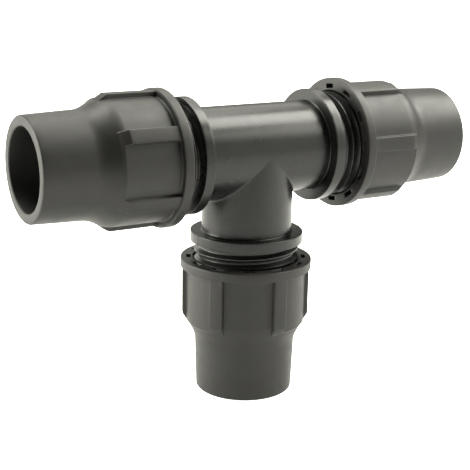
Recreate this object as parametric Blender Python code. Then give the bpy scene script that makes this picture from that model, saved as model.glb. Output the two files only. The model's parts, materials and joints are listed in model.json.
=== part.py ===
"""A three-way compression tee for plastic pipe, with its nuts part-way unscrewed.

The run lies along X and the branch points down. The origin is on the branch's axis, in the mouth
plane of the branch nut, so the fitting stands on z = 0. Every port has its own frame: its local Z
points out of the tee, its local X points to the front (-Y), and w measures along its local Z.
"""

from math import cos, pi, radians, sin, tan

import bmesh
import bpy
from mathutils import Matrix, Vector

MM = 0.001

# Tee body
TUBE_R = 14.7 * MM
TUBE_BORE_R = 11.7 * MM
TUBE_FILLET = 0.4 * MM
COLLAR_R = 18.4 * MM
COLLAR_LENGTH = 3.3 * MM
COLLAR_EDGE = 0.3 * MM
RUN_COLLAR_AT = 22.1 * MM
BRANCH_COLLAR_AT = 26.3 * MM
SPIGOT_LENGTH = 15.0 * MM
SPIGOT_CHAMFER = 1.5 * MM
SOCKET_R = 12.8 * MM
PIPE_STOP_DEPTH = 1.0 * MM
SEAL_SEAT_R = 14.4 * MM
SEAL_SEAT_DEPTH = 11.0 * MM

# Thread: one start, right-handed, trapezoidal
PITCH = 3.0 * MM
FLANK_ANGLE = radians(30)
MALE_CREST_R = 17.1 * MM
MALE_ROOT_R = 15.6 * MM
MALE_CREST_WIDTH = 0.6 * MM
TAP_CREST_R = 17.5 * MM
TAP_ROOT_R = 16.0 * MM
THREAD_PLAY = 0.38 * MM
THREAD_SEGMENTS = 20
ROD_SPARE_TURNS = 4
TAP_LEAD_TURNS = 2
TAP_SPARE_TURNS = 4

# Nut: t measures from its open face towards its mouth
NUT_LENGTH = 44.8 * MM
FLANGE_R = 21.5 * MM
FLANGE_LENGTH = 3.1 * MM
FLANGE_EDGE = 0.5 * MM
BARREL_R = 19.4 * MM
PAD_HEIGHT = 0.3 * MM
BARREL_LENGTH = 21.1 * MM
RIB_COUNT = 6
RIB_R = 20.9 * MM
RIB_LENGTH = 19.1 * MM
RIB_HALF_ANGLE = radians(7.1)
RIB_DRAFT = radians(0.8)
PANEL_STEPS = 4
CONE_LENGTH = 25.2 * MM
CONE_R = 17.1 * MM
SLEEVE_START = 28.4 * MM
SLEEVE_R = 16.5 * MM
MOUTH_R = 15.95 * MM
MOUTH_EDGE = 0.4 * MM
NUT_BORE_R = 12.75 * MM
NUT_LEAD_R = 17.65 * MM
NUT_THREAD_LENGTH = 11.0 * MM
NUT_RELIEF_LENGTH = 3.6 * MM
NUT_RELIEF_R = 17.6 * MM
NUT_CONE_TOP_R = 16.5 * MM
NUT_CONE_START = 15.8 * MM
NUT_CONE_END = 25.6 * MM
NUT_CONE_END_R = 13.3 * MM
NUT_CONE_RUNOUT = 1.5 * MM
POCKET_COUNT = 12
POCKET_R = 18.85 * MM
POCKET_SIZE = (1.4 * MM, 3.7 * MM)
POCKET_DEPTH = 2.8 * MM

# Pieces inside each nut
CLEARANCE = 0.35 * MM
GRIP_RING_START = 16.5 * MM
GRIP_RING_LENGTH = 8.0 * MM
GRIP_RING_BORE_R = 12.75 * MM
GRIP_TOOTH_DEPTH = 0.55 * MM
GRIP_TOOTH_COUNT = 4
GRIP_SPLIT_WIDTH = 3.2 * MM
BUSH_BORE_R = 12.85 * MM
BUSH_NOSE_R = 14.05 * MM
BUSH_NOSE_LENGTH = 8.8 * MM
BUSH_FLANGE_R = 15.4 * MM
BUSH_FLANGE_LENGTH = 2.0 * MM
BUSH_FLANGE_START = 14.15 * MM
O_RING_SECTION_R = 0.9 * MM
O_RING_R = 13.15 * MM

ROUND_SEGMENTS = 36
SMALL_SEGMENTS = 24
O_RING_STEPS = 8
SMOOTH_BELOW = radians(35)
WELD = 0.000001
CUT_MARGIN = 1.0 * MM
ARC_SAG = 1 - cos(pi / 4)

# Each port: axis direction, distance of its collar from the centre, gap between collar and nut,
# and how far the nut is turned from the front, by the right-hand rule about the outward axis
PORTS = {
    "left": (Vector((-1, 0, 0)), RUN_COLLAR_AT, 5.5 * MM, radians(-28.9)),
    "right": (Vector((1, 0, 0)), RUN_COLLAR_AT, 7.0 * MM, radians(-5.8)),
    "branch": (Vector((0, 0, -1)), BRANCH_COLLAR_AT, 5.8 * MM, radians(58.0)),
}
RUN_HEIGHT = BRANCH_COLLAR_AT + COLLAR_LENGTH + PORTS["branch"][2] + NUT_LENGTH
CENTRE = Matrix.Translation((0, 0, RUN_HEIGHT))


def clear_scene():
    for obj in list(bpy.data.objects):
        bpy.data.objects.remove(obj)


def plastic(name, colour, roughness):
    material = bpy.data.materials.new(name)
    material.use_nodes = True
    shader = material.node_tree.nodes["Principled BSDF"]
    shader.inputs["Base Color"].default_value = (*colour, 1)
    shader.inputs["Roughness"].default_value = roughness
    shader.inputs["Metallic"].default_value = 0
    return material


def finished_mesh(name, shape):
    """Turns a bmesh into a mesh with its faces pointing out."""
    bmesh.ops.remove_doubles(shape, verts=shape.verts, dist=WELD)
    axis_edges = [edge for edge in shape.edges if edge.is_wire]
    bmesh.ops.delete(shape, geom=axis_edges, context="EDGES")
    bmesh.ops.recalc_face_normals(shape, faces=shape.faces)
    mesh = bpy.data.meshes.new(name)
    shape.to_mesh(mesh)
    shape.free()
    return mesh


def turned(name, outline, segments):
    """A solid turned about Z from a closed outline of (radius, w) points."""
    shape = bmesh.new()
    points = [shape.verts.new((radius, 0, w)) for radius, w in outline]
    edges = [shape.edges.new((a, b)) for a, b in zip(points, points[1:] + points[:1])]
    bmesh.ops.spin(
        shape,
        geom=points + edges,
        axis=(0, 0, 1),
        cent=(0, 0, 0),
        steps=segments,
        angle=2 * pi,
    )
    return finished_mesh(name, shape)


def lofted(name, rings):
    """A closed tube-like solid through rings of equally many points; the last ring joins the first."""
    shape = bmesh.new()
    loops = [[shape.verts.new(point) for point in ring] for ring in rings]
    for ring, following in zip(loops, loops[1:] + loops[:1]):
        for i, vert in enumerate(ring):
            j = (i + 1) % len(ring)
            shape.faces.new((vert, ring[j], following[j], following[i]))
    return finished_mesh(name, shape)


def box_at(shape, matrix, size):
    bmesh.ops.create_cube(shape, size=1, matrix=matrix @ Matrix.Diagonal((*size, 1)))


def combined(name, mesh, steps):
    """The mesh after a list of (operation, tool mesh, tool matrix) Booleans."""
    blank = bpy.data.objects.new(name, mesh)
    bpy.context.collection.objects.link(blank)
    tools = []
    for operation, tool_mesh, matrix in steps:
        tool = bpy.data.objects.new(name + "_tool", tool_mesh)
        bpy.context.collection.objects.link(tool)
        tool.matrix_world = matrix
        tools.append(tool)
        modifier = blank.modifiers.new(operation, "BOOLEAN")
        modifier.operation = operation
        modifier.solver = "EXACT"
        modifier.object = tool
    depsgraph = bpy.context.evaluated_depsgraph_get()
    result = bpy.data.meshes.new_from_object(blank.evaluated_get(depsgraph))
    for obj in [blank] + tools:
        bpy.data.objects.remove(obj)
    return result


def threaded_rod(name, crest_r, root_r, crest_width, turns):
    """A solid rod with a right-handed thread whose first crest crosses w = 0 at its local X."""
    base_width = crest_width + 2 * (crest_r - root_r) * tan(FLANK_ANGLE)
    profile = (
        (root_r, -base_width / 2),
        (crest_r, -crest_width / 2),
        (crest_r, crest_width / 2),
        (root_r, base_width / 2),
    )
    steps = turns * THREAD_SEGMENTS
    shape = bmesh.new()
    columns = []
    for j in range(steps + 1):
        angle = 2 * pi * j / THREAD_SEGMENTS
        rise = PITCH * j / THREAD_SEGMENTS
        columns.append(
            [shape.verts.new((r * cos(angle), r * sin(angle), rise + w)) for r, w in profile]
        )
    for j in range(steps):
        here, there = columns[j], columns[j + 1]
        for k in range(3):
            shape.faces.new((here[k], there[k], there[k + 1], here[k + 1]))
    for j in range(steps - THREAD_SEGMENTS):
        above = j + THREAD_SEGMENTS
        shape.faces.new((columns[j][3], columns[j + 1][3], columns[above + 1][0], columns[above][0]))
    first = [column[0] for column in columns[: THREAD_SEGMENTS + 1]] + columns[0][:0:-1]
    last = [column[3] for column in columns[-THREAD_SEGMENTS - 1 :]] + columns[-1][2::-1]
    close_end(shape, first, -PITCH)
    close_end(shape, last, PITCH * (turns + 1))
    return finished_mesh(name, shape)


def close_end(shape, loop, w):
    tip = shape.verts.new((0, 0, w))
    for a, b in zip(loop, loop[1:] + loop[:1]):
        shape.faces.new((a, b, tip))


def port_frame(port):
    """From a port's local frame, at the tee's centre, to the world."""
    outward = PORTS[port][0]
    front = Vector((0, -1, 0))
    side = outward.cross(front)
    axes = Matrix((front, side, outward)).transposed()
    return CENTRE @ axes.to_4x4()


def nut_frame(port):
    """Where a nut sits: its open face is one gap outside its port's collar."""
    collar_at, gap, turn = PORTS[port][1:]
    place = Matrix.Translation((0, 0, collar_at + COLLAR_LENGTH + gap))
    return port_frame(port) @ place @ Matrix.Rotation(turn, 4, "Z")


# ---------------------------------------------------------------- tee body


def collared_tube(collar_at):
    """Half of a tube and its collar, from the tee's centre out to the collar's outer face."""
    face = collar_at + COLLAR_LENGTH
    return (
        (TUBE_R, collar_at - TUBE_FILLET),
        (TUBE_R + TUBE_FILLET * ARC_SAG, collar_at - TUBE_FILLET * ARC_SAG),
        (TUBE_R + TUBE_FILLET, collar_at),
        (COLLAR_R - COLLAR_EDGE, collar_at),
        (COLLAR_R, collar_at + COLLAR_EDGE),
        (COLLAR_R, face - COLLAR_EDGE),
        (COLLAR_R - COLLAR_EDGE, face),
        (0, face),
    )


def both_ways(half):
    """An outline that repeats its half on the other side of w = 0."""
    return tuple((radius, -w) for radius, w in reversed(half)) + half


def spigot_mesh(port):
    """A threaded spigot from inside the collar to its chamfered end, in mesh with the port's nut."""
    gap, turn = PORTS[port][2:]
    turns = int(SPIGOT_LENGTH / PITCH) + ROD_SPARE_TURNS
    rod = threaded_rod("rod", MALE_CREST_R, MALE_ROOT_R, MALE_CREST_WIDTH, turns)
    envelope = turned(
        "envelope",
        (
            (0, -COLLAR_LENGTH / 2),
            (COLLAR_R, -COLLAR_LENGTH / 2),
            (COLLAR_R, SPIGOT_LENGTH - SPIGOT_CHAMFER - COLLAR_R + MALE_CREST_R),
            (MALE_ROOT_R, SPIGOT_LENGTH),
            (0, SPIGOT_LENGTH),
        ),
        ROUND_SEGMENTS,
    )
    in_mesh = Matrix.Translation((0, 0, gap - ROD_SPARE_TURNS * PITCH)) @ Matrix.Rotation(turn, 4, "Z")
    rod.transform(in_mesh)
    return combined("spigot_" + port, rod, [("INTERSECT", envelope, Matrix())])


def socket_outline(collar_at):
    """The bore of one port, from the tee's centre outwards: waterway, pipe stop, socket and seal seat."""
    spigot_end = collar_at + COLLAR_LENGTH + SPIGOT_LENGTH
    stop = collar_at + PIPE_STOP_DEPTH
    seat = spigot_end - SEAL_SEAT_DEPTH
    return (
        (TUBE_BORE_R, stop),
        (SOCKET_R, stop),
        (SOCKET_R, seat),
        (SEAL_SEAT_R, seat),
        (SEAL_SEAT_R, spigot_end + PITCH),
        (0, spigot_end + PITCH),
    )


def solid_mesh(name, run_half, branch_half, branch_w0):
    """A turned solid along the run joined to one along the branch, in the world's place."""
    run = turned(name, both_ways(run_half), ROUND_SEGMENTS)
    run.transform(port_frame("right"))
    branch = turned(name + "_branch", branch_w0 + branch_half, ROUND_SEGMENTS)
    return combined(name, run, [("UNION", branch, port_frame("branch"))])


def tee_body(material):
    outside = solid_mesh(
        "outside",
        collared_tube(RUN_COLLAR_AT),
        collared_tube(BRANCH_COLLAR_AT),
        ((0, 0), (TUBE_R, 0)),
    )
    waterway = solid_mesh(
        "waterway",
        socket_outline(RUN_COLLAR_AT),
        socket_outline(BRANCH_COLLAR_AT),
        ((0, 0), (TUBE_BORE_R, 0)),
    )
    steps = []
    for port in PORTS:
        collar_face = PORTS[port][1] + COLLAR_LENGTH
        place = port_frame(port) @ Matrix.Translation((0, 0, collar_face))
        steps.append(("UNION", spigot_mesh(port), place))
    steps.append(("DIFFERENCE", waterway, Matrix()))
    body = combined("tee_body", outside, steps)
    body.transform(CENTRE.inverted())
    place_object("tee_body", body, CENTRE, material)


# ---------------------------------------------------------------- nuts


def nut_columns():
    """The angle and the kind (rib, pad or panel) of each of a nut's long edges; pads and panels alternate."""
    columns = []
    pitch = 2 * pi / RIB_COUNT
    gap = pitch - 2 * RIB_HALF_ANGLE
    for rib in range(RIB_COUNT):
        centre = rib * pitch
        start = centre + RIB_HALF_ANGLE
        columns.append((centre - RIB_HALF_ANGLE + RIB_DRAFT, "rib"))
        columns.append((start - RIB_DRAFT, "rib"))
        kind = "pad" if rib % 2 == 0 else "panel"
        for step in range(PANEL_STEPS + 1):
            columns.append((start + gap * step / PANEL_STEPS, kind))
    return columns


def nut_blank_mesh():
    """The nut before it is bored: flange, ribbed barrel, cone and sleeve around a narrow core hole."""
    pad_r = BARREL_R + PAD_HEIGHT
    rings = (
        (0, FLANGE_R - FLANGE_EDGE, {}),
        (FLANGE_EDGE, FLANGE_R, {}),
        (FLANGE_LENGTH - FLANGE_EDGE, FLANGE_R, {}),
        (FLANGE_LENGTH, FLANGE_R - FLANGE_EDGE, {"rib": RIB_R}),
        (FLANGE_LENGTH + FLANGE_EDGE, BARREL_R, {"rib": RIB_R, "pad": pad_r}),
        (RIB_LENGTH, BARREL_R, {"rib": RIB_R, "pad": pad_r}),
        (BARREL_LENGTH, BARREL_R, {"rib": pad_r, "pad": pad_r}),
        (CONE_LENGTH, CONE_R, {}),
        (SLEEVE_START, SLEEVE_R, {}),
        (NUT_LENGTH - MOUTH_EDGE, MOUTH_R, {}),
        (NUT_LENGTH, MOUTH_R - MOUTH_EDGE, {}),
        (NUT_LENGTH, NUT_BORE_R - CUT_MARGIN, {}),
        (0, NUT_BORE_R - CUT_MARGIN, {}),
    )
    loops = []
    for t, plain_r, raised in rings:
        loop = []
        for angle, kind in nut_columns():
            radius = raised.get(kind, plain_r)
            loop.append((radius * cos(angle), radius * sin(angle), t))
        loops.append(loop)
    return lofted("nut_blank", loops)


def nut_bore_mesh():
    """Everything a core pin would leave: lead-in, thread relief, squeezing cone and pipe bore."""
    relief_end = NUT_THREAD_LENGTH + NUT_RELIEF_LENGTH
    outline = (
        (0, -CUT_MARGIN),
        (NUT_LEAD_R + CUT_MARGIN, -CUT_MARGIN),
        (TAP_ROOT_R - CUT_MARGIN, NUT_LEAD_R - TAP_ROOT_R + CUT_MARGIN),
        (TAP_ROOT_R - CUT_MARGIN, NUT_THREAD_LENGTH),
        (NUT_RELIEF_R, NUT_THREAD_LENGTH),
        (NUT_RELIEF_R, relief_end),
        (NUT_CONE_TOP_R, NUT_CONE_START),
        (NUT_CONE_END_R, NUT_CONE_END),
        (NUT_BORE_R, NUT_CONE_END + NUT_CONE_RUNOUT),
        (NUT_BORE_R, NUT_LENGTH - MOUTH_EDGE),
        (NUT_BORE_R + MOUTH_EDGE + CUT_MARGIN, NUT_LENGTH + CUT_MARGIN),
        (0, NUT_LENGTH + CUT_MARGIN),
    )
    return turned("nut_bore", outline, ROUND_SEGMENTS)


def tap_mesh():
    """A tap wider than the male thread by the play on each flank, whole past the thread's end."""
    crest_width = MALE_CREST_WIDTH + 2 * THREAD_PLAY
    crest_width -= 2 * (TAP_CREST_R - MALE_CREST_R) * tan(FLANK_ANGLE)
    turns = int(NUT_THREAD_LENGTH / PITCH) + TAP_SPARE_TURNS
    tap = threaded_rod("tap", TAP_CREST_R, TAP_ROOT_R, crest_width, turns)
    tap.transform(Matrix.Translation((0, 0, -TAP_LEAD_TURNS * PITCH)))
    return tap


def pocket_mesh():
    """The small moulding pockets around the open face."""
    shape = bmesh.new()
    radial, tangential = POCKET_SIZE
    for pocket in range(POCKET_COUNT):
        turn = Matrix.Rotation(2 * pi * pocket / POCKET_COUNT, 4, "Z")
        place = turn @ Matrix.Translation((POCKET_R, 0, 0))
        box_at(shape, place, (radial, tangential, 2 * POCKET_DEPTH))
    return finished_mesh("pockets", shape)


def nut_mesh():
    steps = [
        ("DIFFERENCE", pocket_mesh(), Matrix()),
        ("DIFFERENCE", nut_bore_mesh(), Matrix()),
        ("DIFFERENCE", tap_mesh(), Matrix()),
    ]
    return combined("nut", nut_blank_mesh(), steps)


# ---------------------------------------------------------------- pieces inside a nut


def nut_cone_r(t):
    """Radius of the nut's squeezing cone at t."""
    share = (t - NUT_CONE_START) / (NUT_CONE_END - NUT_CONE_START)
    return NUT_CONE_TOP_R + share * (NUT_CONE_END_R - NUT_CONE_TOP_R)


def grip_ring_mesh():
    """A split ring: outside it follows the nut's cone, inside it has saw teeth against the pipe."""
    end = GRIP_RING_START + GRIP_RING_LENGTH
    outline = [
        (nut_cone_r(GRIP_RING_START) - CLEARANCE, GRIP_RING_START),
        (nut_cone_r(end) - CLEARANCE, end),
        (GRIP_RING_BORE_R, end),
    ]
    tooth = GRIP_RING_LENGTH / (GRIP_TOOTH_COUNT + 2)
    for index in range(GRIP_TOOTH_COUNT):
        tip = end - (index + 0.5) * tooth
        outline.append((GRIP_RING_BORE_R + GRIP_TOOTH_DEPTH, tip))
        outline.append((GRIP_RING_BORE_R, tip - tooth))
    outline.append((GRIP_RING_BORE_R + GRIP_TOOTH_DEPTH, GRIP_RING_START))
    ring = turned("grip_ring", outline, SMALL_SEGMENTS)
    shape = bmesh.new()
    middle = Matrix.Translation((BARREL_R, 0, GRIP_RING_START + GRIP_RING_LENGTH / 2))
    box_at(shape, middle, (2 * BARREL_R, GRIP_SPLIT_WIDTH, 2 * GRIP_RING_LENGTH))
    split = finished_mesh("split", shape)
    return combined("grip_ring", ring, [("DIFFERENCE", split, Matrix())])


def thrust_bush_mesh():
    """A flanged bush whose nose enters the seal seat."""
    flange_end = BUSH_FLANGE_START + BUSH_FLANGE_LENGTH
    nose_end = BUSH_FLANGE_START - BUSH_NOSE_LENGTH
    edge = CLEARANCE
    outline = (
        (BUSH_BORE_R, nose_end),
        (BUSH_NOSE_R - edge, nose_end),
        (BUSH_NOSE_R, nose_end + edge),
        (BUSH_NOSE_R, BUSH_FLANGE_START),
        (BUSH_FLANGE_R, BUSH_FLANGE_START),
        (BUSH_FLANGE_R, flange_end),
        (BUSH_BORE_R, flange_end),
    )
    return turned("thrust_bush", outline, SMALL_SEGMENTS)


def o_ring_mesh():
    """A round-section ring; w = 0 is its middle."""
    outline = []
    for step in range(O_RING_STEPS):
        angle = 2 * pi * step / O_RING_STEPS
        radius = O_RING_R + O_RING_SECTION_R * cos(angle)
        outline.append((radius, O_RING_SECTION_R * sin(angle)))
    return turned("o_ring", outline, SMALL_SEGMENTS)


# ---------------------------------------------------------------- assembly


def place_object(name, mesh, matrix, material):
    obj = bpy.data.objects.new(name, mesh)
    bpy.context.collection.objects.link(obj)
    obj.matrix_world = matrix
    if not mesh.materials:
        mesh.materials.append(material)
    mesh.set_sharp_from_angle(angle=SMOOTH_BELOW)


def place_port_pieces(meshes, materials):
    """Each port's nut and what it holds; the pieces inside it don't turn with the nut."""
    for port in PORTS:
        collar_at, gap, turn = PORTS[port][1:]
        at_nut = nut_frame(port)
        unturned = at_nut @ Matrix.Rotation(-turn, 4, "Z")
        seat = collar_at + COLLAR_LENGTH + SPIGOT_LENGTH - SEAL_SEAT_DEPTH
        seal_at = seat + O_RING_SECTION_R + CLEARANCE
        at_seal = port_frame(port) @ Matrix.Translation((0, 0, seal_at))
        places = {
            "nut": at_nut,
            "grip_ring": unturned,
            "thrust_bush": unturned,
            "o_ring": at_seal,
        }
        for piece, matrix in places.items():
            place_object(port + "_" + piece, meshes[piece], matrix, materials[piece])


def main():
    clear_scene()
    body_plastic = plastic("body_plastic", (0.012, 0.012, 0.012), 0.28)
    materials = {
        "nut": plastic("nut_plastic", (0.020, 0.020, 0.019), 0.45),
        "grip_ring": plastic("grip_acetal", (0.72, 0.72, 0.70), 0.35),
        "thrust_bush": plastic("bush_plastic", (0.020, 0.020, 0.020), 0.45),
        "o_ring": plastic("seal_rubber", (0.012, 0.012, 0.012), 0.7),
    }
    meshes = {
        "nut": nut_mesh(),
        "grip_ring": grip_ring_mesh(),
        "thrust_bush": thrust_bush_mesh(),
        "o_ring": o_ring_mesh(),
    }
    tee_body(body_plastic)
    place_port_pieces(meshes, materials)


main()
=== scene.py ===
"""The looks of a three-way compression tee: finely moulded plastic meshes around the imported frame.

Every port has a frame of its own: local Z points out of the tee, local X points to the front (-Y),
and angles turn about the outward axis from the front. Along a nut, t runs from its open face to its
mouth. Along the tee body, w runs outwards from the tee's centre.
"""

import json
from math import asin, atan2, ceil, cos, pi, radians, sin, tan

import bmesh
import bpy
from mathutils import Matrix, Vector


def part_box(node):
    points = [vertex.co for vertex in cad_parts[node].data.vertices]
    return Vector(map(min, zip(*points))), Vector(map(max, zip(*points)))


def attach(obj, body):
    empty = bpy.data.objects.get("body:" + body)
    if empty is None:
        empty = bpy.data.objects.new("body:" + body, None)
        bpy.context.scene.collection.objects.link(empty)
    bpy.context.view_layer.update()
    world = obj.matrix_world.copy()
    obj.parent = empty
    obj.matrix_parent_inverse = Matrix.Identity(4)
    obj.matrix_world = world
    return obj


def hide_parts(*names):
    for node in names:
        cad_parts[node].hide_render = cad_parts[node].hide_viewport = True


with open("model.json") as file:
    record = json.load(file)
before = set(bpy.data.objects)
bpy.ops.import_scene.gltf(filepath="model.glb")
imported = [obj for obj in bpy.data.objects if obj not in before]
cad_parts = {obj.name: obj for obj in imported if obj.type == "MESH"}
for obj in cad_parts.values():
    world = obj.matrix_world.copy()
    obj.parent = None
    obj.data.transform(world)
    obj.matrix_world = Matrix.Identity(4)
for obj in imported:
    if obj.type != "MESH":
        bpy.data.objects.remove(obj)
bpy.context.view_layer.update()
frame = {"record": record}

MM = 0.001

# Where things are, from the frame
BODY_LOW, BODY_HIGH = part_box("tee_body")
COLLAR_R = BODY_HIGH.y
RUN_HEIGHT = BODY_HIGH.z - COLLAR_R
CENTRE = Matrix.Translation((0, 0, RUN_HEIGHT))
OUTWARD = {"left": Vector((-1, 0, 0)), "right": Vector((1, 0, 0)), "branch": Vector((0, 0, -1))}
SPIGOT_END = {"left": -BODY_LOW.x, "right": BODY_HIGH.x, "branch": RUN_HEIGHT - BODY_LOW.z}
NUT_LOW, NUT_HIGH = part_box("left_nut")
NUT_LENGTH = NUT_HIGH.x - NUT_LOW.x
NUT_TURN = {"left": radians(-28.9), "right": radians(-5.8), "branch": radians(58.0)}

# Tee body
TUBE_R = 14.7 * MM
TUBE_BORE_R = 11.7 * MM
TUBE_FILLET = 0.3 * MM
CROTCH_FILLET = 0.9 * MM
BORE_CROTCH_FILLET = 0.4 * MM
COLLAR_LENGTH = 3.3 * MM
COLLAR_EDGE = 0.2 * MM
SPIGOT_LENGTH = 15.0 * MM
SOCKET_R = 12.8 * MM
PIPE_STOP_DEPTH = 1.0 * MM
SEAL_SEAT_R = 14.4 * MM
SEAL_SEAT_DEPTH = 11.0 * MM
SEAL_SEAT_LEAD = 0.3 * MM
PARTING_RIDGE = 0.06 * MM
PARTING_HALF_ANGLE = radians(0.45)
BODY_COLUMNS = 144
RUN_ROWS = 14
FILLET_ROWS = 7
BRANCH_ROWS = 12
TUBE_FILLET_STEPS = 6

# Thread: one start, right-handed, trapezoidal
PITCH = 3.0 * MM
FLANK_ANGLE = radians(30)
MALE_CREST_R = 17.1 * MM
MALE_ROOT_R = 15.6 * MM
MALE_CREST_WIDTH = 0.4 * MM
TAP_CREST_R = 17.5 * MM
TAP_ROOT_R = 16.0 * MM
THREAD_PLAY = 0.38 * MM
THREAD_ROUND = 0.16 * MM
THREAD_ROUND_SHARE = 0.8
THREAD_EASE = 0.3
TURNS_BEYOND_ENDS = 3

# Nut
FLANGE_R = 21.5 * MM
FLANGE_LENGTH = 3.1 * MM
FLANGE_EDGE = 0.3 * MM
FLANGE_ROOT = 0.45 * MM
FLANGE_EDGE_AT_RIB = 0.15 * MM
FLANGE_ROOT_AT_RIB = 0.18 * MM
BARREL_R = 19.4 * MM
BARREL_LENGTH = 21.1 * MM
PAD_HEIGHT = 0.2 * MM
PAD_END_SLOPE = 0.9
PAD_END_ROUND = 0.12 * MM
RIB_COUNT = 6
RIB_R = 20.9 * MM
RIB_LENGTH = 19.1 * MM
RIB_END_SLOPE = 0.62
RIB_END_ROUND = 0.25 * MM
RIB_TOP_HALF_ANGLE = radians(6.3)
RIB_BASE_HALF_ANGLE = radians(7.1)
RIB_EDGE = 0.3 * MM
RIB_ROOT = 0.25 * MM
RIB_TOP_SHARES = (0, 0.3, 0.6)
RIB_END_REACH = 0.35 * MM
PAD_END_REACH = 0.15 * MM
CONE_SLOPE = 0.561
SHOULDER_ROUND = 1.2 * MM
SLEEVE_START = 28.4 * MM
SLEEVE_R = 16.5 * MM
SLEEVE_ROUND = 1.3 * MM
MOUTH_R = 15.95 * MM
MOUTH_EDGE = 0.35 * MM
MOUTH_CREST_R = 14.35 * MM
MOUTH_CREST_HALF = 0.2 * MM
MOUTH_FALL = 0.22 * MM
NUT_BORE_R = 12.75 * MM
NUT_LEAD_R = 17.65 * MM
NUT_THREAD_LENGTH = 11.0 * MM
NUT_RELIEF_LENGTH = 3.6 * MM
NUT_RELIEF_R = 17.6 * MM
NUT_CONE_TOP_R = 16.5 * MM
NUT_CONE_START = 15.8 * MM
NUT_CONE_END = 25.6 * MM
NUT_CONE_END_R = 13.3 * MM
NUT_CONE_RUNOUT = 1.5 * MM
POCKET_COUNT = 12
POCKET_LOW_R = 18.15 * MM
POCKET_HIGH_R = 19.55 * MM
POCKET_HALF_ANGLE = radians(5.6)
POCKET_DEPTH = 2.8 * MM
POCKET_DRAFT = 0.08 * MM
POCKET_WALL = ((1.5, 1), (0.5, 0.97), (-0.5, 0.05), (-1.5, 0.01))
PANEL_STEP = radians(4)
MOUTH_ROWS = 5
MOUTH_EDGE_END = 80

# Pieces inside each nut
CLEARANCE = 0.35 * MM
GRIP_RING_START = 16.5 * MM
GRIP_RING_LENGTH = 8.0 * MM
GRIP_RING_BORE_R = 12.75 * MM
GRIP_TOOTH_DEPTH = 0.55 * MM
GRIP_TOOTH_COUNT = 4
GRIP_SPLIT_WIDTH = 3.2 * MM
BUSH_BORE_R = 12.85 * MM
BUSH_NOSE_R = 14.05 * MM
BUSH_NOSE_LENGTH = 8.8 * MM
BUSH_FLANGE_R = 15.4 * MM
BUSH_FLANGE_LENGTH = 2.0 * MM
BUSH_FLANGE_START = 14.15 * MM
SMALL_EDGE = 0.25 * MM
O_RING_SECTION_R = 0.9 * MM
O_RING_R = 13.15 * MM
O_RING_FLASH = 0.05 * MM
O_RING_STEPS = 24
SMALL_COLUMNS = 96

# Steps along edges and flats that several pieces share
EDGE_STEPS = 5
SMALL_EDGE_STEPS = 4
FLAT_STEPS = 4
SHORT_FLAT_STEPS = 2

# Studio: azimuths in degrees from the front, positive to the right
CAMERA_AZIMUTH = -30.9
CAMERA_ELEVATION = 14.92
CAMERA_ROLL = 1.08
CAMERA_DISTANCE = 362.2 * MM
CAMERA_AIM = Vector((-4.28 * MM, 0, RUN_HEIGHT - 27.83 * MM))
LENS = 85.13
SENSOR_WIDTH = 36
FLOOR_SIZE = 4
FLOOR_GAP = 0.5 * MM
FLOOR_COLOUR = (0.86, 0.86, 0.86, 1)
FLOOR_ROUGHNESS = 0.9
FLOOR_GLOW = 1.1
FILL_LEVEL = 0.03
BACKDROP_LEVEL = 1.2
LAMP_COLOUR = (1.0, 0.99, 0.895)
SOFTBOX_DISTANCE = 1.0
WALL, SHELF, CEILING = (0.55, 0.55), (0.55, 0.45), (0.5, 0.4)

# Each softbox: name, turn from the camera's azimuth, elevation, width and height in metres, watts
SOFTBOXES = (
    ("right_wall", 60, 8, WALL, 1.0),
    ("right_back_wall", 90, 8, WALL, 1.7),
    ("right_shelf", 90, 36, SHELF, 4.2),
    ("back_right_shelf", 120, 36, SHELF, 7.6),
    ("back_right_ceiling", 120, 60, CEILING, 6.8),
    ("back_wall", 180, 8, WALL, 0.25),
    ("back_shelf", 180, 36, SHELF, 1.4),
    ("back_ceiling", 180, 60, CEILING, 2.8),
    ("back_left_wall", 210, 8, WALL, 1.4),
    ("left_back_wall", 240, 8, WALL, 1.3),
    ("left_back_ceiling", 240, 60, CEILING, 6.9),
    ("left_wall", 270, 8, WALL, 13.0),
    ("left_front_wall", 300, 8, WALL, 1.5),
)

# Points closer than this are one point, and edges flatter than this are shaded smooth
WELD = 0.000002
SMOOTH_BELOW = radians(42)


# ---------------------------------------------------------------- outlines and skins


def line(start, end, count):
    """Points from start up to, but without, end."""
    return [
        (start[0] + (end[0] - start[0]) * i / count, start[1] + (end[1] - start[1]) * i / count)
        for i in range(count)
    ]


def arc(centre, radius, first, last, count):
    """Points on an arc up to, but without, its last; angles in degrees from +r towards +t."""
    points = []
    for i in range(count):
        angle = radians(first + (last - first) * i / count)
        points.append((centre[0] + radius * cos(angle), centre[1] + radius * sin(angle)))
    return points


def soft_min(a, b, width):
    """The lower of two values, rounded where they cross."""
    share = max(width - abs(a - b), 0) / width
    return min(a, b) - share * share * width / 4


def soft_max(a, b, width):
    """The higher of two values, rounded where they cross."""
    return -soft_min(-a, -b, width)


def polar(radius, angle, t):
    return (radius * cos(angle), radius * sin(angle), t)


def turn_share(point):
    """How far round local Z a point is, from 0 to 1."""
    return (atan2(point[1], point[0]) / (2 * pi)) % 1


def even_angles(count):
    return [2 * pi * i / count for i in range(count)]


def lathe_rows(outline, angles):
    return [[polar(radius, angle, t) for angle in angles] for radius, t in outline]


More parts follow.
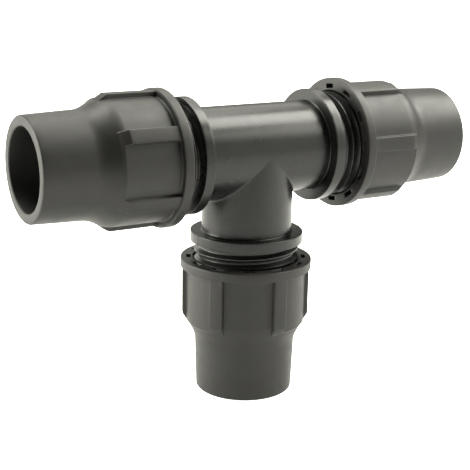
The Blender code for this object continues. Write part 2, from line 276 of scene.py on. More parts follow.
class Skin:
    """A surface gathered from grids and stitched rings, welded into one closed mesh at the end."""

    def __init__(self):
        self.points = []
        self.faces = []

    def add_row(self, row):
        first = len(self.points)
        self.points.extend(row)
        return list(range(first, len(self.points)))

    def grid(self, rows, closed=True):
        """Quads between rows of equally many points."""
        indices = [self.add_row(row) for row in rows]
        count = len(rows[0])
        last = count if closed else count - 1
        for here, there in zip(indices, indices[1:]):
            for i in range(last):
                j = (i + 1) % count
                self.faces.append((here[i], here[j], there[j], there[i]))

    def ring(self, inner, outer):
        """Triangles between two rings about local Z that hold different numbers of points."""
        inner, outer = sorted(inner, key=turn_share), sorted(outer, key=turn_share)
        one, two = self.add_row(inner), self.add_row(outer)
        i = j = 0
        while i < len(one) or j < len(two):
            next_one = turn_share(inner[i + 1]) if i + 1 < len(one) else 1
            next_two = turn_share(outer[j + 1]) if j + 1 < len(two) else 1
            if j == len(two) or (i < len(one) and next_one <= next_two):
                self.faces.append((one[i], one[(i + 1) % len(one)], two[j % len(two)]))
                i += 1
            else:
                self.faces.append((one[i % len(one)], two[(j + 1) % len(two)], two[j]))
                j += 1

    def mesh(self, name):
        mesh = bpy.data.meshes.new(name)
        mesh.from_pydata(self.points, [], self.faces)
        shape = bmesh.new()
        shape.from_mesh(mesh)
        bmesh.ops.remove_doubles(shape, verts=shape.verts, dist=WELD)
        bmesh.ops.recalc_face_normals(shape, faces=shape.faces)
        shape.to_mesh(mesh)
        open_edges = sum(1 for edge in shape.edges if len(edge.link_faces) != 2)
        shape.free()
        if open_edges:
            raise RuntimeError(name + " isn't closed: " + str(open_edges) + " edges")
        mesh.shade_smooth()
        mesh.set_sharp_from_angle(angle=SMOOTH_BELOW)
        return mesh


# ---------------------------------------------------------------- threads


def thread_profile(crest_r, root_r, crest_width):
    """One pitch of a thread as (offset, radius) points with rounded crest and root."""
    half_crest = crest_width / 2
    flank = (crest_r - root_r) * tan(FLANK_ANGLE)
    half_root = PITCH / 2 - half_crest - flank
    corner = min(THREAD_ROUND, THREAD_ROUND_SHARE * half_crest, THREAD_ROUND_SHARE * half_root)
    ease = THREAD_EASE * corner / tan(2 * FLANK_ANGLE)
    reach = corner / 2
    drop = reach / tan(FLANK_ANGLE)
    half = [
        (0, crest_r),
        (half_crest - corner, crest_r),
        (half_crest, crest_r - ease),
        (half_crest + reach, crest_r - drop),
        (half_crest + flank - reach, root_r + drop),
        (half_crest + flank, root_r + ease),
        (half_crest + flank + corner, root_r),
    ]
    return [(-offset, radius) for offset, radius in reversed(half[1:])] + half


def profile_r(profile, offset):
    """Radius of a repeating thread profile at an offset from a crest's middle."""
    offset = (offset + PITCH / 2) % PITCH - PITCH / 2
    previous = (profile[-1][0] - PITCH, profile[-1][1])
    following = (profile[0][0] + PITCH, profile[0][1])
    for point in profile + [following]:
        if offset <= point[0]:
            span = point[0] - previous[0]
            share = (offset - previous[0]) / span if span else 0
            return previous[1] + share * (point[1] - previous[1])
        previous = point
    return profile[-1][1]


def thread_rows(profile, angles, start, end, phase, limit):
    """Rows that follow the helix between start and end; limit(radius, w) trims each point's radius.
    phase is where along the axis a crest's middle passes the angle 0."""
    closing = list(angles) + [angles[0] + 2 * pi]
    first_turn = int((start - phase) / PITCH) - TURNS_BEYOND_ENDS
    last_turn = int((end - phase) / PITCH) + TURNS_BEYOND_ENDS
    rows = []
    for turn in range(first_turn, last_turn):
        for offset, _ in profile:
            row = []
            for angle in closing:
                rise = phase + PITCH * angle / (2 * pi)
                w = min(max(rise + PITCH * turn + offset, start), end)
                radius = limit(profile_r(profile, w - rise), w)
                row.append(polar(radius, angle, w))
            rows.append(row)
    return rows


# ---------------------------------------------------------------- port frames


def port_frame(port):
    """From a port's local frame, at the tee's centre, to the world."""
    outward = OUTWARD[port]
    front = Vector((0, -1, 0))
    axes = Matrix((front, outward.cross(front), outward)).transposed()
    return CENTRE @ axes.to_4x4()


def nut_start(port):
    """How far from the tee's centre the nut's open face is."""
    low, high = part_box(port + "_nut")
    near = {"left": -high.x, "right": low.x, "branch": RUN_HEIGHT - high.z}
    return near[port]


# ---------------------------------------------------------------- tee body


def body_angles():
    """Even columns, with a close pair on each side of the two parting lines."""
    angles = set(even_angles(BODY_COLUMNS))
    for middle in (pi / 2, 3 * pi / 2):
        angles.add(middle - PARTING_HALF_ANGLE)
        angles.add(middle + PARTING_HALF_ANGLE)
    return sorted(angles)


def ridge(angle):
    """The parting line stands proud where the two mould halves met."""
    return PARTING_RIDGE if abs(cos(angle)) < PARTING_HALF_ANGLE / 2 else 0


def crotch_half(port, angles, tube_r, fillet, run_end, branch_end):
    """One side of the crossing of two equal tubes, as columns from the run's end to the branch's end.
    In a slice at one depth the tubes meet in a square corner, which an arc rounds off."""
    side = OUTWARD[port].x
    columns = []
    for angle in angles:
        y = -tube_r * cos(angle)
        z = -side * tube_r * sin(angle)
        depth = max(-z, 0)
        round_off = fillet * depth / tube_r
        corner = depth + round_off
        column = [(side * x, y, z) for x, _ in line((run_end, 0), (corner, 0), RUN_ROWS)]
        for step in range(FILLET_ROWS + 1):
            turn = pi / 2 * step / FILLET_ROWS
            x = corner - round_off * sin(turn)
            drop = depth + round_off * (1 - cos(turn))
            column.append((side * x, y, -drop if depth else z))
        if depth or abs(z) < WELD:
            foot = column[-1]
            for share in range(1, BRANCH_ROWS + 1):
                w = foot[2] + (-branch_end - foot[2]) * share / BRANCH_ROWS
                column.append((foot[0], y, w))
        columns.append(column)
    return columns


def crossing(skin, tube_r, fillet, run_end, branch_end):
    """The middle of the tee, outside or inside, added to a skin in the tee's own axes."""
    angles = body_angles()
    for port in ("left", "right"):
        columns = crotch_half(port, angles, tube_r, fillet, run_end, branch_end)
        for a, b in zip(columns, columns[1:] + columns[:1]):
            shared = min(len(a), len(b))
            skin.grid([a[:shared], b[:shared]], closed=False)


def male_limit(face):
    """Trims the spigot's thread to the chamfer at its end."""
    end = face + SPIGOT_LENGTH

    def limit(radius, w):
        return min(radius, MALE_ROOT_R + max(end - w, 0))

    return limit


def port_skin(skin, port):
    """One port of the tee body: collar, threaded spigot and stepped socket, in the port's frame."""
    local = Skin()
    angles = body_angles()
    end = SPIGOT_END[port]
    face = end - SPIGOT_LENGTH
    back = face - COLLAR_LENGTH
    root = arc((TUBE_R + TUBE_FILLET, back - TUBE_FILLET), TUBE_FILLET, 180, 90, TUBE_FILLET_STEPS)
    root.append((TUBE_R + TUBE_FILLET, back))
    rim_r = COLLAR_R - COLLAR_EDGE
    collar = (
        line(root[-1], (rim_r, back), SHORT_FLAT_STEPS)[1:]
        + arc((rim_r, back + COLLAR_EDGE), COLLAR_EDGE, 270, 360, EDGE_STEPS)
        + line((COLLAR_R, back + COLLAR_EDGE), (COLLAR_R, face - COLLAR_EDGE), FLAT_STEPS)
        + arc((rim_r, face - COLLAR_EDGE), COLLAR_EDGE, 0, 90, EDGE_STEPS)
    )
    rows = lathe_rows(root, angles)
    rows += [[polar(radius + ridge(angle), angle, w) for angle in angles] for radius, w in collar]
    rows += lathe_rows([(rim_r, face)], angles)
    profile = thread_profile(MALE_CREST_R, MALE_ROOT_R, MALE_CREST_WIDTH)
    phase = nut_start(port) - PITCH * NUT_TURN[port] / (2 * pi)
    thread = thread_rows(profile, angles, face, end, phase, male_limit(face))
    local.grid(rows + [thread[0][:-1]])
    local.grid(thread, closed=False)
    seat = end - SEAL_SEAT_DEPTH
    stop = back + PIPE_STOP_DEPTH
    inside = (
        [(MALE_ROOT_R, end), (SEAL_SEAT_R + SEAL_SEAT_LEAD, end), (SEAL_SEAT_R, end - SEAL_SEAT_LEAD)]
        + line((SEAL_SEAT_R, end - SEAL_SEAT_LEAD), (SEAL_SEAT_R, seat), FLAT_STEPS)[1:]
        + [(SEAL_SEAT_R, seat), (SOCKET_R + SEAL_SEAT_LEAD, seat), (SOCKET_R, seat - SEAL_SEAT_LEAD)]
        + [(SOCKET_R, stop), (TUBE_BORE_R + SEAL_SEAT_LEAD, stop), (TUBE_BORE_R, stop - SEAL_SEAT_LEAD)]
        + [(TUBE_BORE_R, back - TUBE_FILLET)]
    )
    local.grid(lathe_rows(inside, angles))
    place = CENTRE.inverted() @ port_frame(port)
    first = len(skin.points)
    skin.points.extend(tuple(place @ Vector(point)) for point in local.points)
    skin.faces.extend(tuple(index + first for index in loop) for loop in local.faces)


def tee_body_mesh():
    """The tee body in its own axes, with its origin where the run and the branch cross."""
    run_end = SPIGOT_END["right"] - SPIGOT_LENGTH - COLLAR_LENGTH - TUBE_FILLET
    branch_end = SPIGOT_END["branch"] - SPIGOT_LENGTH - COLLAR_LENGTH - TUBE_FILLET
    skin = Skin()
    crossing(skin, TUBE_R, CROTCH_FILLET, run_end, branch_end)
    crossing(skin, TUBE_BORE_R, BORE_CROTCH_FILLET, run_end, branch_end)
    for port in OUTWARD:
        port_skin(skin, port)
    return skin.mesh("tee_body_skin")


# ---------------------------------------------------------------- nuts


def rib_half_section():
    """Half of a rib's cross-section as (angle, height share) points, from its middle outwards."""
    height = RIB_R - BARREL_R
    edge = RIB_EDGE / RIB_R
    root = RIB_ROOT / BARREL_R
    points = [(RIB_TOP_HALF_ANGLE * share, 1) for share in RIB_TOP_SHARES]
    for reach, rise in arc((0, 0), 1, 90, 5, EDGE_STEPS):
        points.append((RIB_TOP_HALF_ANGLE - edge * (1 - reach), 1 - RIB_EDGE * (1 - rise) / height))
    points.append((RIB_TOP_HALF_ANGLE, 1 - RIB_EDGE / height))
    for angle, rise in arc((0, 0), 1, 0, 90, EDGE_STEPS):
        points.append((RIB_BASE_HALF_ANGLE + root * (1 - angle), RIB_ROOT * (1 - rise) / height))
    points.append((RIB_BASE_HALF_ANGLE + root, 0))
    return points


def nut_columns():
    """Each long line of a nut's outside as (angle, rib height share, pad or panel)."""
    half = rib_half_section()
    pitch = 2 * pi / RIB_COUNT
    edge = half[-1][0]
    steps = ceil((pitch - 2 * edge) / PANEL_STEP)
    columns = []
    for rib in range(RIB_COUNT):
        before, after = ("panel", "pad") if rib % 2 == 0 else ("pad", "panel")
        centre = rib * pitch
        columns += [(centre - angle, share, before) for angle, share in reversed(half[1:])]
        columns += [(centre + angle, share, after) for angle, share in half]
        columns += [
            (centre + edge + (pitch - 2 * edge) * step / steps, 0, after) for step in range(1, steps)
        ]
    return columns


def barrel_r(kind, t):
    """Radius of the barrel, shoulder and sleeve at t on a panel, a pad or a rib."""
    cone = BARREL_R - CONE_SLOPE * (t - BARREL_LENGTH)
    taper = (SLEEVE_R - MOUTH_R) / (NUT_LENGTH - SLEEVE_START)
    sleeve = SLEEVE_R - taper * (t - SLEEVE_START)
    plain = soft_max(soft_min(BARREL_R, cone, SHOULDER_ROUND), sleeve, SLEEVE_ROUND)
    if kind == "panel":
        return plain
    pad_r = BARREL_R + PAD_HEIGHT
    end = pad_r - PAD_END_SLOPE * (t - BARREL_LENGTH)
    if kind == "rib":
        chamfer = RIB_R - RIB_END_SLOPE * (t - RIB_LENGTH)
        raised = soft_min(RIB_R, chamfer, RIB_END_ROUND)
        return max(plain, soft_min(raised, end, PAD_END_ROUND))
    return max(plain, soft_min(pad_r, end, PAD_END_ROUND))


def flange_outline(kind):
    """From the open face's flat ring over the flange to the foot of the barrel."""
    top = barrel_r(kind, FLANGE_LENGTH)
    edge = FLANGE_EDGE_AT_RIB if kind == "rib" else FLANGE_EDGE
    root = FLANGE_ROOT_AT_RIB if kind == "rib" else FLANGE_ROOT
    return (
        arc((FLANGE_R - FLANGE_EDGE, FLANGE_EDGE), FLANGE_EDGE, 270, 360, EDGE_STEPS)
        + line((FLANGE_R, FLANGE_EDGE), (FLANGE_R, FLANGE_LENGTH - edge), FLAT_STEPS - 1)
        + arc((FLANGE_R - edge, FLANGE_LENGTH - edge), edge, 0, 90, EDGE_STEPS)
        + line((FLANGE_R - edge, FLANGE_LENGTH), (top + root, FLANGE_LENGTH), SHORT_FLAT_STEPS)
        + arc((top + root, FLANGE_LENGTH + root), root, 270, 180, EDGE_STEPS)
        + [(top, FLANGE_LENGTH + root)]
    )


def span(start, end, count):
    """Values from start up to, but without, end."""
    return [start + (end - start) * i / count for i in range(count)]


def barrel_stations():
    """Where the barrel's and sleeve's rows are, close together at the ends of ribs and pads."""
    stretches = (
        (FLANGE_LENGTH + FLANGE_ROOT, 8),
        (RIB_LENGTH - RIB_END_REACH, 7),
        (RIB_LENGTH + RIB_END_REACH, 5),
        (BARREL_LENGTH - PAD_END_REACH, 7),
        (BARREL_LENGTH + PAD_END_REACH, 5),
        (BARREL_LENGTH + 4 * PAD_END_REACH, 16),
        (SLEEVE_START, 8),
        (NUT_LENGTH - MOUTH_FALL - MOUTH_EDGE, 0),
    )
    stations = []
    for (start, rows), (end, _) in zip(stretches, stretches[1:]):
        stations += span(start, end, rows)
    return stations[1:]


def mouth_lip(start_r, end_r):
    """The end face falls away a little from its crest towards the rim and towards the bore."""
    reach = MOUTH_R - MOUTH_CREST_R
    points = []
    for step in range(MOUTH_ROWS + 1):
        radius = start_r + (end_r - start_r) * step / MOUTH_ROWS
        share = max(abs(radius - MOUTH_CREST_R) - MOUTH_CREST_HALF, 0) / reach
        points.append((radius, NUT_LENGTH - MOUTH_FALL * share * share))
    return points


def nut_outside(skin):
    """Adds the outside of a nut; returns its first row, on the open face, and its last, at the mouth."""
    outlines = {}
    for kind in ("panel", "pad", "rib"):
        rows = flange_outline(kind)
        rows += [(barrel_r(kind, t), t) for t in barrel_stations()]
        rim = NUT_LENGTH - MOUTH_FALL
        rows += arc((MOUTH_R - MOUTH_EDGE, rim - MOUTH_EDGE), MOUTH_EDGE, 0, MOUTH_EDGE_END, EDGE_STEPS + 1)
        rows += mouth_lip(MOUTH_R - MOUTH_EDGE, MOUTH_CREST_R + MOUTH_CREST_HALF)
        outlines[kind] = rows
    rows = []
    for index in range(len(outlines["rib"])):
        row = []
        for angle, share, kind in nut_columns():
            low, high = outlines[kind][index], outlines["rib"][index]
            radius = low[0] + share * (high[0] - low[0])
            t = low[1] + share * (high[1] - low[1])
            row.append(polar(radius, angle, t))
        rows.append(row)
    skin.grid(rows)
    return rows[0], rows[-1]


def pocket_angles():
    """Columns for the inside of a nut, with close ones where the pockets' side walls are."""
    pitch = 2 * pi / POCKET_COUNT
    draft = POCKET_DRAFT / POCKET_LOW_R
    wall = POCKET_HALF_ANGLE
    offsets = [0, wall / 2, wall - 2 * draft, wall - draft, wall, wall + draft, wall + 2 * draft, wall * 1.8]
    angles = set()
    for pocket in range(POCKET_COUNT):
        for offset in offsets:
            angles.add(round((pocket * pitch + offset) % (2 * pi), 9))
            angles.add(round((pocket * pitch - offset) % (2 * pi), 9))
    return sorted(angles)


def pocket_share(angle):
    """0 outside a pocket, 1 inside it, across the angle."""
    pitch = 2 * pi / POCKET_COUNT
    offset = abs((angle + pitch / 2) % pitch - pitch / 2)
    draft = POCKET_DRAFT / POCKET_LOW_R
    distance = (POCKET_HALF_ANGLE - offset) / draft
    for edge, share in POCKET_WALL:
        if distance > edge:
            return share
    return 0


def open_face_rows(angles):
    """The open face's flat, from the thread's lead-in out past the pockets."""
    draft = POCKET_DRAFT
    stations = [
        (NUT_LEAD_R, 0),
        (POCKET_LOW_R - draft, 0),
        (POCKET_LOW_R, 0.04),
        (POCKET_LOW_R + draft, 0.97),
        (POCKET_LOW_R + 2 * draft, 1),
        (POCKET_HIGH_R - 2 * draft, 1),
        (POCKET_HIGH_R - draft, 0.97),
        (POCKET_HIGH_R, 0.04),
        (POCKET_HIGH_R + draft, 0),
        (POCKET_HIGH_R + 5 * draft, 0),
    ]
    rows = []
    for radius, share in stations:
        rows.append([polar(radius, a, POCKET_DEPTH * min(share, pocket_share(a))) for a in angles])
    return rows


def nut_lead_limit(radius, t):
    return max(radius, NUT_LEAD_R - t)


def nut_inside(skin):
    """Adds the inside of a nut; returns its rows at the open face and at the mouth."""
    angles = pocket_angles()
    profile = thread_profile(TAP_CREST_R, TAP_ROOT_R, tap_crest_width())
    face = open_face_rows(angles)
    thread = thread_rows(profile, angles, 0, NUT_THREAD_LENGTH, 0, nut_lead_limit)
    relief_end = NUT_THREAD_LENGTH + NUT_RELIEF_LENGTH
    bore_start = NUT_CONE_END + NUT_CONE_RUNOUT
    mouth = NUT_LENGTH - MOUTH_FALL - SMALL_EDGE
    outline = (
        [(NUT_RELIEF_R, NUT_THREAD_LENGTH), (NUT_RELIEF_R, relief_end)]
        + line((NUT_CONE_TOP_R, NUT_CONE_START), (NUT_CONE_END_R, NUT_CONE_END), FLAT_STEPS)
        + [(NUT_CONE_END_R, NUT_CONE_END), (NUT_BORE_R, bore_start)]
        + line((NUT_BORE_R, bore_start), (NUT_BORE_R, mouth), FLAT_STEPS + 2)[1:]
        + arc((NUT_BORE_R + SMALL_EDGE, mouth), SMALL_EDGE, 180, 90, EDGE_STEPS)
        + mouth_lip(NUT_BORE_R + SMALL_EDGE, MOUTH_CREST_R - MOUTH_CREST_HALF)
    )
    inner = lathe_rows(outline, angles)
    skin.grid(face)
    skin.grid(thread, closed=False)
    skin.grid([thread[-1][:-1], inner[0]])
    skin.grid(inner)
    return face[-1], inner[-1]


def tap_crest_width():
    width = MALE_CREST_WIDTH + 2 * THREAD_PLAY
    return width - 2 * (TAP_CREST_R - MALE_CREST_R) * tan(FLANK_ANGLE)


def nut_mesh():
    skin = Skin()
    outer_face, outer_mouth = nut_outside(skin)
    inner_face, inner_mouth = nut_inside(skin)
    skin.ring(inner_face, outer_face)
    skin.ring(inner_mouth, outer_mouth)
    return skin.mesh("nut_skin")


# ---------------------------------------------------------------- pieces inside a nut


def nut_cone_r(t):
    share = (t - NUT_CONE_START) / (NUT_CONE_END - NUT_CONE_START)
    return NUT_CONE_TOP_R + share * (NUT_CONE_END_R - NUT_CONE_TOP_R)


def grip_ring_mesh():
    """A split ring with saw teeth inside; its two ends are flat and parallel."""
    end = GRIP_RING_START + GRIP_RING_LENGTH
    low = (nut_cone_r(GRIP_RING_START) - CLEARANCE, GRIP_RING_START)
    high = (nut_cone_r(end) - CLEARANCE, end)
    edge = SMALL_EDGE
    outline = [(low[0] - edge, low[1]), (low[0], low[1] + edge)]
    outline += line(outline[-1], high, FLAT_STEPS + 1)[1:]
    outline += [(high[0] + edge / 3, end - edge), (high[0] - edge / 2, end), (GRIP_RING_BORE_R, end)]
    tooth = GRIP_RING_LENGTH / (GRIP_TOOTH_COUNT + 2)
    for index in range(GRIP_TOOTH_COUNT):
        tip = end - (index + 0.5) * tooth
        outline.append((GRIP_RING_BORE_R + GRIP_TOOTH_DEPTH, tip))
        outline.append((GRIP_RING_BORE_R, tip - tooth))
    outline.append((GRIP_RING_BORE_R + GRIP_TOOTH_DEPTH, GRIP_RING_START))
    columns = SMALL_COLUMNS
    rows = []
    for radius, t in outline:
        start = asin(GRIP_SPLIT_WIDTH / 2 / radius)
        sweep = 2 * pi - 2 * start
        rows.append([polar(radius, start + sweep * i / columns, t) for i in range(columns + 1)])
    skin = Skin()
    skin.grid(rows + rows[:1], closed=False)
    for side in (0, -1):
        skin.faces.append(tuple(skin.add_row([row[side] for row in rows])))
    return skin.mesh("grip_ring_skin")


def thrust_bush_mesh():
    flange_end = BUSH_FLANGE_START + BUSH_FLANGE_LENGTH
    nose_end = BUSH_FLANGE_START - BUSH_NOSE_LENGTH
    edge = SMALL_EDGE
    outline = (
        [(BUSH_BORE_R + edge, nose_end), (BUSH_NOSE_R - 2 * edge, nose_end)]
        + [(BUSH_NOSE_R - edge, nose_end + edge), (BUSH_NOSE_R, nose_end + 3 * edge)]
        + [(BUSH_NOSE_R, BUSH_FLANGE_START - edge), (BUSH_NOSE_R + edge, BUSH_FLANGE_START)]
        + arc((BUSH_FLANGE_R - edge, BUSH_FLANGE_START + edge), edge, 270, 360, SMALL_EDGE_STEPS)
        + arc((BUSH_FLANGE_R - edge, flange_end - edge), edge, 0, 90, SMALL_EDGE_STEPS)
        + [(BUSH_FLANGE_R - edge, flange_end), (BUSH_BORE_R + edge, flange_end)]
        + [(BUSH_BORE_R, flange_end - edge), (BUSH_BORE_R, nose_end + edge)]
    )
    skin = Skin()
    skin.grid(lathe_rows(outline + outline[:1], even_angles(SMALL_COLUMNS)))
    return skin.mesh("thrust_bush_skin")


def o_ring_mesh():
    """A round-section ring with the fine moulding flash at its inner and outer middle."""
    outline = []
    for step in range(O_RING_STEPS):
        angle = 2 * pi * step / O_RING_STEPS
        section = O_RING_SECTION_R + (O_RING_FLASH if step % (O_RING_STEPS // 2) == 0 else 0)
        outline.append((O_RING_R + section * cos(angle), section * sin(angle)))
    skin = Skin()
    skin.grid(lathe_rows(outline + outline[:1], even_angles(SMALL_COLUMNS)))
    return skin.mesh("o_ring_skin")


# ---------------------------------------------------------------- materials


def node(tree, kind, settings=None, **inputs):
    """A shader node with its inputs set or linked; inputs are named in lower case."""
    made = tree.nodes.new(kind)
    for key, value in (settings or {}).items():
        setattr(made, key, value)
    for socket in made.inputs:
        key = socket.name.lower().replace(" ", "_")
        if key in inputs:
            value = inputs[key]
            if isinstance(value, bpy.types.NodeSocket):
                tree.links.new(value, socket)
            else:
                socket.default_value = value
    return made


def map_range(tree, value, source, target=(0, 1)):
    """Carries a value from one (low, high) range to another."""
    mapped = node(tree, "ShaderNodeMapRange", value=value)
    for key, level in zip(("From Min", "From Max", "To Min", "To Max"), (*source, *target)):
        mapped.inputs[key].default_value = level
    return mapped.outputs[0]


def product(tree, value, other):
    """A value times another value or a number."""
    made = node(tree, "ShaderNodeMath", {"operation": "MULTIPLY"})
    tree.links.new(value, made.inputs[0])
    if isinstance(other, bpy.types.NodeSocket):
        tree.links.new(other, made.inputs[1])
    else:
        made.inputs[1].default_value = other
    return made.outputs[0]


def shade(colour, factor):
    return (*[channel * factor for channel in colour], 1)


def moulded_plastic(name, look):
    """Injection-moulded plastic: cloudy pigment, rubbed edges, changing gloss, fine grain and slow waves."""
    material = bpy.data.materials.new(name)
    material.use_nodes = True
    tree = material.node_tree
    shader = tree.nodes["Principled BSDF"]
    place = node(tree, "ShaderNodeTexCoord").outputs["Object"]

    cloud = node(tree, "ShaderNodeTexNoise", vector=place, scale=CLOUD_SCALE, detail=4.0, roughness=0.6)
    pigment = node(tree, "ShaderNodeValToRGB", fac=cloud.outputs["Fac"])
    low, high = pigment.color_ramp.elements
    low.position, high.position = NOISE_RANGE
    low.color = shade(look["colour"], 1 - look["cloud"])
    high.color = shade(look["colour"], 1 + look["cloud"])

    rub = node(tree, "ShaderNodeTexNoise", vector=place, scale=RUB_SCALE, detail=3.0)
    edge = node(tree, "ShaderNodeNewGeometry").outputs["Pointiness"]
    patchy = product(tree, map_range(tree, edge, EDGE_POINTINESS), rub.outputs["Fac"])
    worn = node(tree, "ShaderNodeMix", {"data_type": "RGBA"})
    tree.links.new(product(tree, patchy, look["rub"]), worn.inputs["Factor"])
    tree.links.new(pigment.outputs["Color"], worn.inputs[MIX_COLOUR_A])
    worn.inputs[MIX_COLOUR_B].default_value = shade(look["rub_colour"], 1)
    tree.links.new(worn.outputs[MIX_COLOUR_OUT], shader.inputs["Base Color"])

    sheen = node(tree, "ShaderNodeTexNoise", vector=place, scale=SHEEN_SCALE, detail=5.0, roughness=0.65)
    middle, spread = look["roughness"], look["roughness_spread"]
    rough = map_range(tree, sheen.outputs["Fac"], NOISE_RANGE, (middle - spread, middle + spread))
    tree.links.new(rough, shader.inputs["Roughness"])

    grain = node(tree, "ShaderNodeTexNoise", vector=place, scale=1 / look["grain_size"], detail=2.0)
    waves = node(tree, "ShaderNodeTexNoise", vector=place, scale=1 / look["wave_size"], detail=1.0)
    wavy = node(tree, "ShaderNodeBump", height=waves.outputs["Fac"], strength=1.0)
    wavy.inputs["Distance"].default_value = look["wave_depth"]
    bump = node(tree, "ShaderNodeBump", height=grain.outputs["Fac"], strength=1.0)
    bump.inputs["Distance"].default_value = look["grain_depth"]
    tree.links.new(wavy.outputs["Normal"], bump.inputs["Normal"])
    tree.links.new(bump.outputs["Normal"], shader.inputs["Normal"])
    shader.inputs["IOR"].default_value = look["ior"]
    shader.inputs["Subsurface Weight"].default_value = look["subsurface"]
    shader.inputs["Subsurface Radius"].default_value = (MM, MM, MM)
    return material


# A mix node's colour sockets, which share their names with its sockets for numbers and vectors
MIX_COLOUR_A, MIX_COLOUR_B, MIX_COLOUR_OUT = 6, 7, 2

# Noise scales are in clouds or patches to the metre
CLOUD_SCALE = 90.0
RUB_SCALE = 400.0
SHEEN_SCALE = 250.0
NOISE_RANGE = (0.3, 0.7)
EDGE_POINTINESS = (0.52, 0.60)

NUT_LOOK = {
    "colour": (0.0165, 0.016, 0.015),
    "cloud": 0.12,
    "rub": 0.25,
    "rub_colour": (0.07, 0.07, 0.066),
    "roughness": 0.47,
    "roughness_spread": 0.05,
    "grain_size": 0.22 * MM,
    "grain_depth": 0.010 * MM,
    "wave_size": 4.0 * MM,
    "wave_depth": 0.02 * MM,
    "ior": 1.5,
    "subsurface": 0,
}
BODY_LOOK = dict(
    NUT_LOOK,
    colour=(0.008, 0.008, 0.0078),
    rub=0.0,
    roughness=0.29,
    roughness_spread=0.03,
    grain_size=0.35 * MM,
    grain_depth=0.0015 * MM,
    wave_depth=0.012 * MM,
)
ACETAL_LOOK = dict(
    NUT_LOOK,
    colour=(0.74, 0.74, 0.71),
    cloud=0.03,
    rub=0.1,
    rub_colour=(0.85, 0.85, 0.83),
    roughness=0.36,
    grain_depth=0.004 * MM,
    subsurface=0.15,
)
BUSH_LOOK = dict(NUT_LOOK, colour=(0.020, 0.020, 0.020), roughness=0.45)
RUBBER_LOOK = dict(
    NUT_LOOK,
    colour=(0.014, 0.014, 0.014),
    rub=0.1,
    rub_colour=(0.05, 0.05, 0.05),
    roughness=0.68,
    grain_size=0.1 * MM,
    grain_depth=0.006 * MM,
)


# ---------------------------------------------------------------- assembly


def place_piece(name, mesh, matrix, material, body, node_name):
    piece = bpy.data.objects.new(name, mesh)
    bpy.context.collection.objects.link(piece)
    piece.matrix_world = matrix
    mesh.materials.clear()
    mesh.materials.append(material)
    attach(piece, body)
    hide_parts(node_name)
    return piece


def build_fitting():
    nut_plastic = moulded_plastic("grained_nut_plastic", NUT_LOOK)
    body_plastic = moulded_plastic("satin_body_plastic", BODY_LOOK)
    acetal = moulded_plastic("white_acetal", ACETAL_LOOK)
    bush_plastic = moulded_plastic("grey_bush_plastic", BUSH_LOOK)
    rubber = moulded_plastic("seal_rubber_look", RUBBER_LOOK)

    place_piece("tee_body_moulding", tee_body_mesh(), CENTRE, body_plastic, "tee", "tee_body")
    nut_blank, grip, bush, seal = nut_mesh(), grip_ring_mesh(), thrust_bush_mesh(), o_ring_mesh()
    for port in OUTWARD:
        at_face = port_frame(port) @ Matrix.Translation((0, 0, nut_start(port)))
        nut = nut_blank.copy()
        nut.transform(Matrix.Rotation(NUT_TURN[port], 4, "Z"))
        seat = SPIGOT_END[port] - SEAL_SEAT_DEPTH + O_RING_SECTION_R + CLEARANCE
        at_seal = port_frame(port) @ Matrix.Translation((0, 0, seat))
        grip_set, nut_body = port + "_grip_set", port + "_nut"
        place_piece(port + "_nut_moulding", nut, at_face, nut_plastic, nut_body, port + "_nut")
        place_piece(
            port + "_grip_ring_split", grip, at_face, acetal, grip_set, port + "_grip_ring"
        )
        place_piece(
            port + "_thrust_bush_flanged", bush, at_face, bush_plastic, grip_set,
            port + "_thrust_bush",
        )
        place_piece(port + "_seal_ring", seal, at_seal, rubber, "tee", port + "_o_ring")


# ---------------------------------------------------------------- stage


def lowest_reach():
    """How low the branch nut's sleeve comes when the nut is unscrewed to its limit."""
    joints = frame["record"]["behaviour"]["joints"]
    travel = next(joint for joint in joints if joint["name"] == "branch_nut_travel")
    return travel["range_m"][0]


def add_floor():
    """A pale floor that is white to the camera, just below the lowest that the fitting reaches."""
    bpy.ops.mesh.primitive_plane_add(size=FLOOR_SIZE, location=(0, 0, lowest_reach() - FLOOR_GAP))
    floor = bpy.context.object
    floor.name = "floor"
    material = bpy.data.materials.new("pale_floor")
    material.use_nodes = True
    tree = material.node_tree
    shader = tree.nodes["Principled BSDF"]
    shader.inputs["Base Color"].default_value = FLOOR_COLOUR
    shader.inputs["Roughness"].default_value = FLOOR_ROUGHNESS
    seen = node(tree, "ShaderNodeLightPath").outputs["Is Camera Ray"]
    shader.inputs["Emission Color"].default_value = (1, 1, 1, 1)
    tree.links.new(product(tree, seen, FLOOR_GLOW), shader.inputs["Emission Strength"])
    floor.data.materials.append(material)


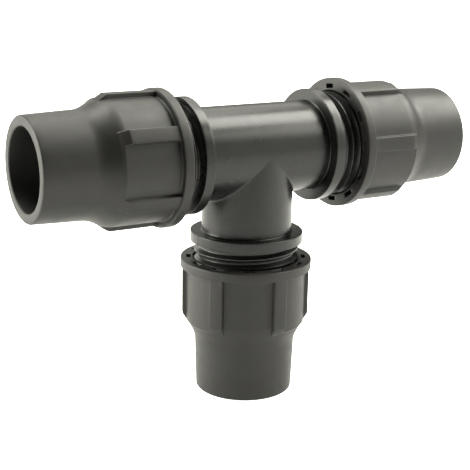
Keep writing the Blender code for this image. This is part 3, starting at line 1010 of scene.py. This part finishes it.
def add_world():
    """White to the camera, and a faint even fill for everything else."""
    world = bpy.data.worlds.new("studio")
    bpy.context.scene.world = world
    world.use_nodes = True
    tree = world.node_tree
    background = tree.nodes["Background"]
    seen = node(tree, "ShaderNodeLightPath").outputs["Is Camera Ray"]
    level = map_range(tree, seen, (0, 1), (FILL_LEVEL, BACKDROP_LEVEL))
    tree.links.new(level, background.inputs["Strength"])
    background.inputs["Color"].default_value = (1, 1, 1, 1)


def view_direction(turn, elevation):
    """Towards a place seen from the fitting: turn is in degrees from the camera's azimuth."""
    azimuth, height = radians(CAMERA_AZIMUTH + turn), radians(elevation)
    return Vector((sin(azimuth) * cos(height), -cos(azimuth) * cos(height), sin(height)))


def add_softboxes():
    """Panels of a light tent: nearly all the light comes from behind and from the sides."""
    middle = Vector((0, 0, RUN_HEIGHT))
    for name, turn, elevation, size, power in SOFTBOXES:
        data = bpy.data.lights.new(name, "AREA")
        data.shape = "RECTANGLE"
        data.size, data.size_y = size
        data.energy = power
        data.color = LAMP_COLOUR
        lamp = bpy.data.objects.new(name, data)
        bpy.context.collection.objects.link(lamp)
        direction = view_direction(turn, elevation)
        lamp.location = middle + direction * SOFTBOX_DISTANCE
        lamp.rotation_euler = (-direction).to_track_quat("-Z", "Y").to_euler()
        lamp.visible_camera = False


def add_camera():
    """A long lens a little above and to the left, with the slight roll of a hand-set tripod."""
    roll = radians(CAMERA_ROLL)
    back = view_direction(0, CAMERA_ELEVATION)
    right = back.cross(Vector((0, 0, -1))).normalized()
    up = back.cross(right)
    rolled = cos(roll) * right + sin(roll) * up
    axes = Matrix((rolled, back.cross(rolled), back)).transposed()
    data = bpy.data.cameras.new("camera")
    data.lens = LENS
    data.sensor_width = SENSOR_WIDTH
    camera = bpy.data.objects.new("camera", data)
    bpy.context.collection.objects.link(camera)
    camera.matrix_world = Matrix.Translation(CAMERA_AIM + back * CAMERA_DISTANCE) @ axes.to_4x4()
    bpy.context.scene.camera = camera


build_fitting()
add_floor()
add_world()
add_softboxes()
add_camera()
bpy.context.scene.view_settings.view_transform = "Standard"
